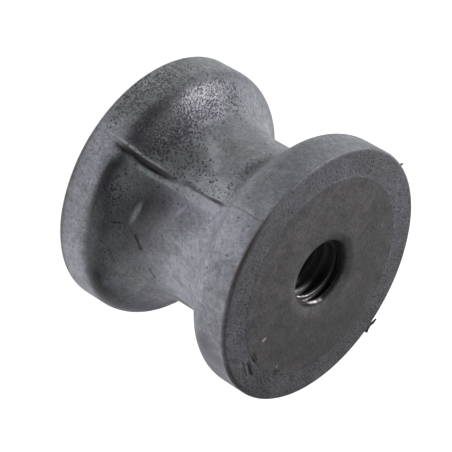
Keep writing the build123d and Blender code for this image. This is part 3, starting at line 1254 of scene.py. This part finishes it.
@dataclass(kw_only=True)
class TappedBush(EndPiece):
    """A bush staked into an end plate, with a blind right-handed M8 thread and a dished mouth."""

    slot: str = "bush_steel"
    major_radius: float = 4.0
    pitch: float = 1.25
    depth_per_pitch: float = 0.541266
    mouth_radius: float = 4.1
    dish_depth: float = 0.3
    bore_depth: float = 8.6
    bore_shift: float = -0.18
    axis_gap: float = 0.4
    run_out: float = 0.6
    thread_start: float = 0.4
    columns: int = 216
    # painted glints and wear of the bore: the azimuth and spread of the side that faces the key light,
    # glints, turning lines and scores
    glint_azimuth: float = 120.0
    glint_spread: float = 50.0
    edge_glint: float = 0.05
    turning: float = 0.16
    turning_pitch: float = 0.2
    scoring: float = 0.6
    scoring_pitch: float = 0.32
    turned_depths: Limits = (0.3, 0.4, 1.0, 1.1)
    scored_depths: Limits = (0.95, 1.1, 1.8, 2.2)
    crescent: float = 0.9
    crescent_depth: float = 0.86
    crescent_rise: float = 0.38
    crescent_sides: Limits = (-18.0, 10.0, 27.0, 33.0)
    # painted highlight: faint turned rings on the dished mouth, lightened only where they face the light
    ring_pitch: float = 0.34
    ring_highlight: float = 0.22
    ring_azimuth: float = 40.0
    ring_spread: float = 70.0

    @property
    def minor_radius(self) -> float:
        """Radius over the crests of the thread."""
        return self.major_radius - self.depth_per_pitch * self.pitch

    def from_root(self, azimuth: Array, height: Array) -> Array:
        """Distance along the axis from the nearest root's middle, as a share of the pitch."""
        return np.abs((height / self.pitch - azimuth / FULL_TURN - self.thread_start) % 1.0 - 0.5)

    def thread_depth(self, azimuth: Array, height: Array) -> Array:
        """Depth under the crests: whole up to 1/16 of the pitch from a root's middle, none from 3/8 on."""
        fall = np.clip((self.from_root(azimuth, height) - 1 / 16) / (5 / 16), 0.0, 1.0)
        return self.depth_per_pitch * self.pitch * (1.0 - fall)

    def burnish_and_glint(self, azimuth: Array, depth: Array) -> Array:
        """How burnished the bore is, with painted glints: the edges of the crests, and part of the mouth's
        chamfer.

        With e the distance along the axis from the nearest edge of a crest, the edges are the bell
        exp(-(e / glint)^2), brightest on the side that faces the key light. The chamfer carries a painted
        highlight in a crescent on that side: it runs deeper and thins out as the azimuth falls. Fine
        turning lines go round the chamfer, and scores, painted only on the lit side, mark the thread
        below the crescent.

        Args:
            azimuth: Azimuths in radians.
            depth: Depths below the end face in millimetres.

        Returns:
            Values from 0 to 1 in the inputs' common shape.
        """
        from_edge = (self.from_root(azimuth, self.total_height - depth) - 3 / 8) * self.pitch
        aside = away(np.degrees(azimuth), self.glint_azimuth)
        # rubbed is the side that faces the key light, where the glints and the scores are painted
        rubbed = bell(aside, self.glint_spread) * (1.0 - 0.5 * ease(depth, 1.6, 2.4))
        edges = bell(from_edge, self.edge_glint) * ease(depth, 0.9, 1.1) * (0.15 + 1.1 * rubbed)
        share = np.clip((aside + 14.0) / 42.0, 0.0, 1.0)
        crescent = bell(depth - self.crescent_depth + self.crescent_rise * share, 0.06 + 0.1 * share)
        crescent = self.crescent * crescent * window(aside, self.crescent_sides)
        turned = self.turning * lines(depth, self.turning_pitch) * window(depth, self.turned_depths)
        scored = self.scoring * lines(depth, self.scoring_pitch) * window(depth, self.scored_depths)
        return np.clip(edges + crescent + turned + scored * rubbed**2, 0.0, 1.0)

    def section(self) -> Array:
        """The bush's section with a plain bore, from the bore's floor up, out and down again.

        The dish is a parabola that starts level at the spigot and is deepest at the mouth.

        Returns:
            Array (n, 2) of radius and height.
        """
        top, bore = self.total_height, self.minor_radius
        lip, chamfer = top - self.dish_depth, self.mouth_radius - bore
        floor, back, seat = top - self.bore_depth, top - self.bush_length, top - self.plate_thickness
        share = np.linspace(1.0, 0.0, 13)
        dish_radius = self.spigot_radius - share * (self.spigot_radius - self.mouth_radius)
        inner = ((self.axis_gap, floor), (bore, floor), (bore, lip - chamfer), (self.mouth_radius, lip))
        outer = ((self.spigot_radius, top), (self.spigot_radius, seat), (self.bush_radius, seat),
                 (self.bush_radius, back), (self.axis_gap, back))
        return joined(
            straights(inner, 0.7, 0.05, 0.05),
            np.column_stack([dish_radius, top - self.dish_depth * share**2]),
            straights(outer, 0.5, 0.6, 2.0, 2.0),
        )

    def layers(self, azimuths: Array, radius: Array, depth: Array) -> dict[str, Array]:
        """What the mesh carries for the finish: bare steel, burnish with painted glints, depth, and stain
        with painted light and shade.

        Args:
            azimuths: Azimuths in radians, one row.
            radius: Plain radii in millimetres, rows by columns.
            depth: Depths below the end face in millimetres, one column.

        Returns:
            Attribute name to array (rows, columns).
        """
        turn = np.degrees(azimuths)[None, :] % 360.0
        in_bore = self.in_bore(radius, depth)
        soiled = 0.55 + 0.45 * ease(turn, 90.0, 120.0) * (1.0 - 0.8 * ease(turn, 200.0, 225.0))
        mouth = 0.5 * soiled * ease(depth, 0.26, 0.5)
        dished = np.clip(self.from_spigot(radius) * 3.0, 0.0, 1.0)
        rings = np.sin(FULL_TURN * radius / self.ring_pitch) * dished
        facing = bell(away(turn, self.ring_azimuth), self.ring_spread) * (depth < self.bore_depth - 0.1)
        return {
            "bare": np.where(in_bore, mouth + (1.0 - mouth) * ease(depth, 1.05, 1.35), 0.0),
            "burnish_and_glint": np.where(in_bore, self.burnish_and_glint(azimuths[None, :], depth), 0.0),
            "deep": np.where(in_bore, ease(depth, 1.9, 3.2), depth > 3.0),
            "stain_and_painted_light": self.stain_and_painted_light(azimuths, radius) + self.ring_highlight * rings * facing,
        }

    def in_bore(self, radius: Array, depth: Array) -> Array:
        """Which points are in the bore, above its floor."""
        return (radius < self.mouth_radius + 0.01) & (depth < self.bore_depth - 0.01)

    def from_spigot(self, radius: Array) -> Array:
        """Share of the way from the spigot's edge in to the mouth."""
        return (self.spigot_radius - radius) / (self.spigot_radius - self.mouth_radius)

    def build(self) -> Object:
        """Makes the bush's closed surface with the thread cut into the bore.

        Returns:
            The piece.
        """
        section, azimuths = self.section(), even_azimuths(self.columns)
        grid = revolved(section, azimuths)
        radius, height = section[:, :1] * np.ones_like(azimuths), section[:, 1:]
        depth, floor = self.total_height - height, self.total_height - self.bore_depth
        cut = self.thread_depth(azimuths[None, :], height) * ease(height, floor, floor + self.run_out)
        threaded = self.in_bore(radius, depth) & (radius > 3.0)
        wall = np.where(threaded, np.maximum(radius, self.minor_radius + cut), radius)
        grid[..., :2] *= (wall / radius)[..., None]
        inward = np.clip(self.from_spigot(radius), 0.0, 1.0) * (height > floor - 0.01)
        grid[..., 1] += self.bore_shift * inward
        poles, layers = self.at_end(end_poles(section)), self.layers(azimuths, radius, depth)
        return mesh_object(f"{self.end.value}_tapped_bush", self.at_end(grid), poles, layers, 50.0)


# ---- the studio


def direction(azimuth: float, elevation: float) -> Vector:
    """Unit vector at an azimuth and an elevation in degrees."""
    rise = math.radians(elevation)
    return Vector(spot(azimuth, math.cos(rise), math.sin(rise)))


@dataclass(frozen=True)
class SoftLight:
    """A round soft light that faces the mount: its place round the mount, its size and its power."""

    name: str
    azimuth: float
    elevation: float
    distance: float
    size: float
    power: float

    def build(self, aim: Vector) -> None:
        """Hangs the light.

        Args:
            aim: The point that it faces.
        """
        light = bpy.data.lights.new(self.name, "AREA")
        light.shape = "DISK"
        light.size = self.size
        light.energy = self.power
        lamp = placed(self.name, light)
        towards = direction(self.azimuth, self.elevation)
        lamp.location = aim + towards * self.distance
        lamp.rotation_euler = towards.to_track_quat("Z", "Y").to_euler()


@dataclass
class Studio:
    """White floor, soft lights, a dim sky and the camera, in metres and degrees."""

    floor_half_size: float = 3.0
    floor_height: float = -0.00002
    lights: tuple[SoftLight, ...] = (
        SoftLight("key_light", -105.0, 45.0, 0.4, 0.16, 0.95),
        SoftLight("back_light", -140.0, 30.0, 0.4, 0.3, 0.72),
        SoftLight("side_light", 62.0, 5.0, 0.4, 0.3, 0.68),
    )
    sky: float = 0.02
    aim: Triple = (0.000497, 0.000650, 0.011747)
    camera_azimuth: float = 5.476
    camera_elevation: float = 33.138
    camera_roll: float = 120.761
    camera_distance: float = 0.254781
    lens: float = 184.7466
    sensor_width: float = 36.0
    clip: Pair = (0.01, 20.0)

    def build_floor(self) -> None:
        """Lays the floor a hair under the mount, so that the two surfaces don't share a plane."""
        half = self.floor_half_size
        corners = [(x * half, y * half, self.floor_height) for x, y in ((-1, -1), (1, -1), (1, 1), (-1, 1))]
        mesh = bpy.data.meshes.new("studio_floor")
        mesh.from_pydata(corners, [], [(0, 1, 2, 3)])
        mesh.materials.append(PaleFloor().build())
        floor = placed("studio_floor", mesh)

    def build_sky(self) -> None:
        """Makes the world: a dim sky that looks white behind the floor's edge."""
        world = bpy.data.worlds.new("studio_sky")
        world.use_nodes = True
        graph = Graph(world.node_tree)
        dim, white = (
            graph.add("ShaderNodeBackground", {"Color": WHITE, "Strength": strength}).outputs[0]
            for strength in (self.sky, 1.0)
        )
        seen = graph.add("ShaderNodeLightPath").outputs["Is Camera Ray"]
        mixed = graph.add("ShaderNodeMixShader", {0: seen, 1: dim, 2: white})
        graph.add("ShaderNodeOutputWorld", {"Surface": mixed.outputs[0]})
        bpy.context.scene.world = world

    def build_camera(self) -> None:
        """Sets up the camera, rolled so that the mount's axis leans in its view."""
        data = bpy.data.cameras.new("studio_camera")
        data.lens, data.sensor_width = self.lens, self.sensor_width
        data.clip_start, data.clip_end = self.clip
        camera = placed("studio_camera", data)
        back = direction(self.camera_azimuth, self.camera_elevation)
        level = Vector((0.0, 0.0, 1.0)).cross(back).normalized()
        rise = back.cross(level)
        roll = math.radians(self.camera_roll)
        right = level * math.cos(roll) + rise * math.sin(roll)
        up = rise * math.cos(roll) - level * math.sin(roll)
        turn = Matrix((right, up, back)).transposed().to_4x4()
        camera.matrix_world = Matrix.Translation(Vector(self.aim) + back * self.camera_distance) @ turn
        bpy.context.scene.camera = camera

    def build(self) -> None:
        """Builds the whole studio."""
        bpy.context.scene.view_settings.view_transform = "Standard"
        self.build_floor()
        self.build_sky()
        for light in self.lights:
            light.build(Vector(self.aim))
        self.build_camera()


def main() -> None:
    """Builds the studio and the mount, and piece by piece."""
    logging.basicConfig(level=logging.INFO, format="%(name)s: %(message)s")
    Studio().build()
    for build_effect in EFFECTS:
        build_effect()
    body = RubberBody()
    plates = [EndPlate(end=end, node=f"{end.value}_plate") for end in End]
    bushes = [TappedBush(end=end, node=f"{end.value}_threaded_bush") for end in End]
    rubber = BloomedRubber(scratches=body.scratches()).build()
    primer = BondingPrimer(scratches=plates[0].scratches()).build()
    steel = ThreadSteel().build()
    pieces = [piece.dress(rubber) for piece in (body, *NIBS)]
    for plate, bush in zip(plates, bushes):
        pieces += [plate.dress(primer), bush.dress(steel)]
    for piece in pieces:
        LOG.info("%s: %d faces", piece.name, len(piece.data.polygons))


if __name__ == "__main__":
    main()
